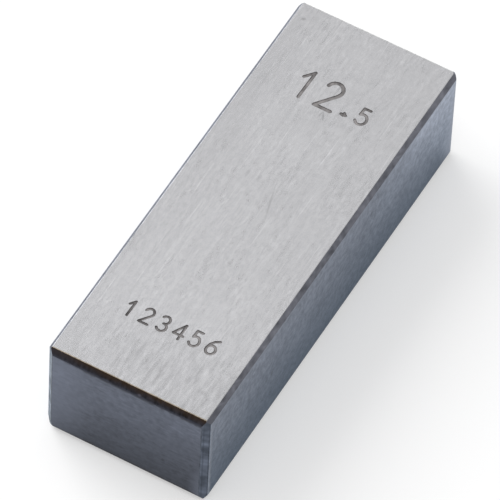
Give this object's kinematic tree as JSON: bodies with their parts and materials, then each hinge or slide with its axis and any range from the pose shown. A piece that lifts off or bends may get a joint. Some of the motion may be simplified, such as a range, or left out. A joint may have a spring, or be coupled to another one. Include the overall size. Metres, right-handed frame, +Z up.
{
  "type": "gauge block",
  "caption": "Rectangular hardened steel gauge block with broken edges, whose opposite lapped faces lie a known distance apart and wring to other blocks.",
  "frame": {"origin": "middle of the side that the block rests on", "axes": "+X across the block, along the gauged length, from one measuring face to the other; +Y along the block's long direction; +Z up, out of the marked side"},
  "size_m": [0.0126, 0.035, 0.009],
  "materials": {
    "hardened_steel": "fine ground on the sides and ends, lapped to a dark mirror on the two measuring faces"
  },
  "bodies": {
    "root": {"gauge_block": "hardened_steel"}
  },
  "joints": []
}
